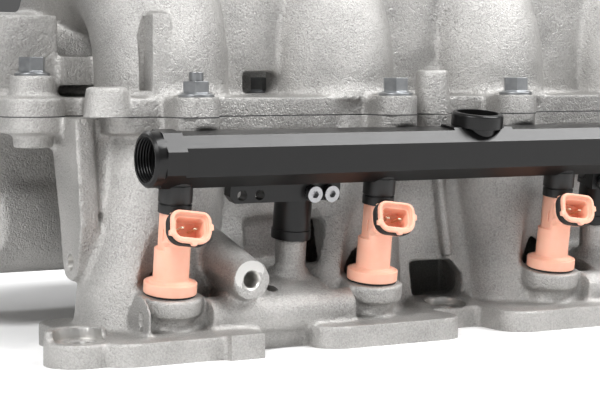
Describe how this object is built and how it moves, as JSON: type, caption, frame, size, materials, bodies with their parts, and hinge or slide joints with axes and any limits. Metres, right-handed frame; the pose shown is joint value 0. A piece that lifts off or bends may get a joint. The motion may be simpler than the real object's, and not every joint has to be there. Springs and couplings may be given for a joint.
{
  "type": "intake manifold",
  "caption": "Two-piece cast intake manifold for an inline engine, with curved runners into a rear plenum, a black fuel rail and injectors with side connectors.",
  "frame": {"origin": "on the head face, midway between cylinders 2 and 3, with Y = 0 on the centre line of the ports", "axes": "+Z out of the head face towards the split between the castings, +Y from the injectors towards the plenum, +X along the engine with the throttle at -X"},
  "size_m": [0.4017, 0.2312, 0.184],
  "materials": {
    "cast_aluminium": "sand-cast and blasted",
    "gasket": "coated gasket sheet",
    "zinc_steel": "zinc plated",
    "black_anodised": "satin black anodised",
    "rubber": "moulded rubber",
    "bright_steel": "polished",
    "peach_plastic": "glass-filled plastic",
    "black_plastic": "moulded",
    "terminal": "plated contact"
  },
  "bodies": {
    "manifold": {"lower_casting": "cast_aluminium", "upper_casting": "cast_aluminium", "split_gasket": "gasket", "split_bolts": "zinc_steel", "end_bolts": "zinc_steel", "split_studs": "zinc_steel", "split_nuts": "zinc_steel", "dowel_pins": "zinc_steel", "fuel_rail": "black_anodised", "centre_port_adapter": "black_anodised", "rail_end_plug": "black_anodised", "rail_end_plug_oring": "rubber", "rail_bracket_left": "black_anodised", "rail_bracket_right": "black_anodised", "rail_spacer_left": "black_anodised", "rail_spacer_right": "black_anodised", "rail_mount_bolts": "zinc_steel", "bracket_screws": "bright_steel"},
    "injector_1": {"injector_1_body": "peach_plastic", "injector_1_inlet_cap": "black_plastic", "injector_1_inlet_oring": "rubber", "injector_1_cushion": "rubber", "injector_1_nozzle": "bright_steel", "injector_1_seat_oring": "rubber", "injector_1_connector_seal": "rubber", "injector_1_terminals": "terminal"},
    "injector_2": {"injector_2_body": "peach_plastic", "injector_2_inlet_cap": "black_plastic", "injector_2_inlet_oring": "rubber", "injector_2_cushion": "rubber", "injector_2_nozzle": "bright_steel", "injector_2_seat_oring": "rubber", "injector_2_connector_seal": "rubber", "injector_2_terminals": "terminal"},
    "injector_3": {"injector_3_body": "peach_plastic", "injector_3_inlet_cap": "black_plastic", "injector_3_inlet_oring": "rubber", "injector_3_cushion": "rubber", "injector_3_nozzle": "bright_steel", "injector_3_seat_oring": "rubber", "injector_3_connector_seal": "rubber", "injector_3_terminals": "terminal"},
    "injector_4": {"injector_4_body": "peach_plastic", "injector_4_inlet_cap": "black_plastic", "injector_4_inlet_oring": "rubber", "injector_4_cushion": "rubber", "injector_4_nozzle": "bright_steel", "injector_4_seat_oring": "rubber", "injector_4_connector_seal": "rubber", "injector_4_terminals": "terminal"}
  },
  "joints": [
    {"name": "injector_1_swivel", "type": "hinge", "parent": "manifold", "child": "injector_1", "pos_m": [-0.141, -0.035, 0.078], "axis": [0, -0.1392, 0.9903], "range_deg": [-25, 25]},
    {"name": "injector_2_swivel", "type": "hinge", "parent": "manifold", "child": "injector_2", "pos_m": [-0.047, -0.035, 0.078], "axis": [0, -0.1392, 0.9903], "range_deg": [-25, 25]},
    {"name": "injector_3_swivel", "type": "hinge", "parent": "manifold", "child": "injector_3", "pos_m": [0.047, -0.035, 0.078], "axis": [0, -0.1392, 0.9903], "range_deg": [-25, 25]},
    {"name": "injector_4_swivel", "type": "hinge", "parent": "manifold", "child": "injector_4", "pos_m": [0.141, -0.035, 0.078], "axis": [0, -0.1392, 0.9903], "range_deg": [-25, 25]}
  ]
}
